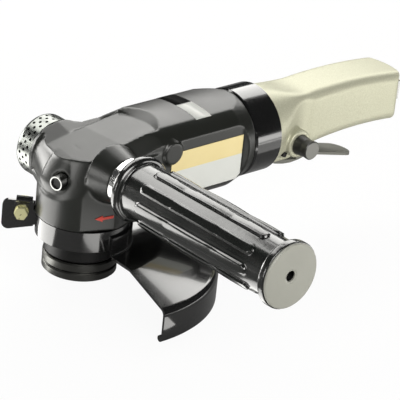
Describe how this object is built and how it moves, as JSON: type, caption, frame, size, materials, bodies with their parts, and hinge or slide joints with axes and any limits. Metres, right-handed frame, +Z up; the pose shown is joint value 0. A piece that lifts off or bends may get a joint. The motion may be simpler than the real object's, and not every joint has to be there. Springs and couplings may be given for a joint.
{
  "type": "pneumatic angle grinder",
  "caption": "Air-driven angle grinder with a bevel gear head, half-round disc guard on a clamp band, ribbed side handle, perforated silencer, lever throttle and speed regulator",
  "frame": {"origin": "on the spindle axis, in the face of the inner flange that the disc sits on", "axes": "+Z up the spindle into the gear head, +X back along the motor to the air inlet, -Y along the side handle, +Y to the silencer"},
  "size_m": [0.2549, 0.2221, 0.092],
  "materials": {
    "housing": "satin grey coated casting",
    "black_steel": "dull black oxide",
    "seal": "matt rubber",
    "bearing_steel": "ground steel",
    "flange_steel": "satin blackened steel",
    "vane_composite": "matt composite",
    "liner_iron": "ground iron",
    "gloss_black": "gloss black",
    "bright_steel": "bright plated",
    "silencer_steel": "perforated bright steel",
    "felt": "dark felt",
    "grip_plastic": "glossy moulded black",
    "end_disc_plastic": "satin grey",
    "handle_cream": "satin champagne coat",
    "brass": "turned brass",
    "knob_black": "satin black",
    "lever_steel": "satin grey",
    "zinc_yellow": "yellow zinc"
  },
  "bodies": {
    "tool_body": {"gear_and_motor_housing": "housing", "bearing_cap": "black_steel", "spindle_seal": "seal", "lower_bearing": "bearing_steel", "bearing_retainer": "bearing_steel", "top_bearing": "bearing_steel", "cylinder_liner": "liner_iron", "front_end_plate": "liner_iron", "rear_end_plate": "liner_iron", "front_rotor_bearing": "bearing_steel", "rear_rotor_bearing": "bearing_steel", "lock_ring": "gloss_black", "lock_sleeve": "bright_steel", "silencer_cap": "silencer_steel", "silencer_felt": "felt", "side_handle_stud": "bearing_steel", "side_handle_collar": "bright_steel", "side_handle_grip": "grip_plastic", "side_handle_end_disc": "end_disc_plastic", "rear_handle": "handle_cream", "inlet_bushing": "bright_steel", "inlet_screen": "brass", "valve_bush": "brass", "valve_spring": "bearing_steel", "lever_pin": "bearing_steel"},
    "spindle_group": {"spindle": "bearing_steel", "inner_flange": "flange_steel", "crown_gear": "bearing_steel"},
    "clamp_nut": {"outer_clamp_nut": "flange_steel"},
    "rotor_group": {"rotor": "bearing_steel", "vanes": "vane_composite", "pinion": "bearing_steel"},
    "lock_plunger": {"lock_plunger": "black_steel"},
    "lever": {"throttle_lever": "lever_steel"},
    "valve": {"valve_stem": "bearing_steel"},
    "regulator": {"regulator_knob": "knob_black"},
    "guard": {"guard_shell": "gloss_black", "guard_clamp_band": "gloss_black", "clamp_bolt": "zinc_yellow", "clamp_bolt_nut": "zinc_yellow"}
  },
  "joints": [
    {"name": "rotor_spin", "type": "hinge", "parent": "tool_body", "child": "rotor_group", "pos_m": [0.059, 0, 0.0503], "axis": [1, 0, 0], "continuous": true},
    {"name": "spindle_spin", "type": "hinge", "parent": "tool_body", "child": "spindle_group", "pos_m": [0, 0, 0.0503], "axis": [0, 0, 1], "continuous": true},
    {"name": "clamp_nut_off", "type": "slide", "parent": "spindle_group", "child": "clamp_nut", "axis": [0, 0, -1], "range_m": [0, 0.04]},
    {"name": "lever_press", "type": "hinge", "parent": "tool_body", "child": "lever", "pos_m": [0.1355, 0, 0.0322], "axis": [0, -1, 0], "range_deg": [0, 11], "stiffness_Nm_per_rad": 0.6, "springref_deg": -8.59},
    {"name": "valve_lift", "type": "slide", "parent": "tool_body", "child": "valve", "axis": [0, 0, 1], "range_m": [0, 0.0045], "deforming": ["valve_spring"]},
    {"name": "lock_press", "type": "slide", "parent": "tool_body", "child": "lock_plunger", "axis": [0.9703, 0.2419, 0], "range_m": [0, 0.003], "stiffness_N_per_m": 400, "springref_m": -0.004},
    {"name": "regulator_turn", "type": "hinge", "parent": "tool_body", "child": "regulator", "pos_m": [0.134, 0, 0.044], "axis": [0, -1, 0], "range_deg": [0, 90]},
    {"name": "guard_turn", "type": "hinge", "parent": "tool_body", "child": "guard", "pos_m": [0, 0, 0.02], "axis": [0, 0, 1], "range_deg": [-45, 90]}
  ],
  "couplings": [
    {"joint": "spindle_spin", "follows": "rotor_spin", "ratio": 0.48276},
    {"joint": "valve_lift", "follows": "lever_press", "m_per_rad": 0.0185}
  ]
}
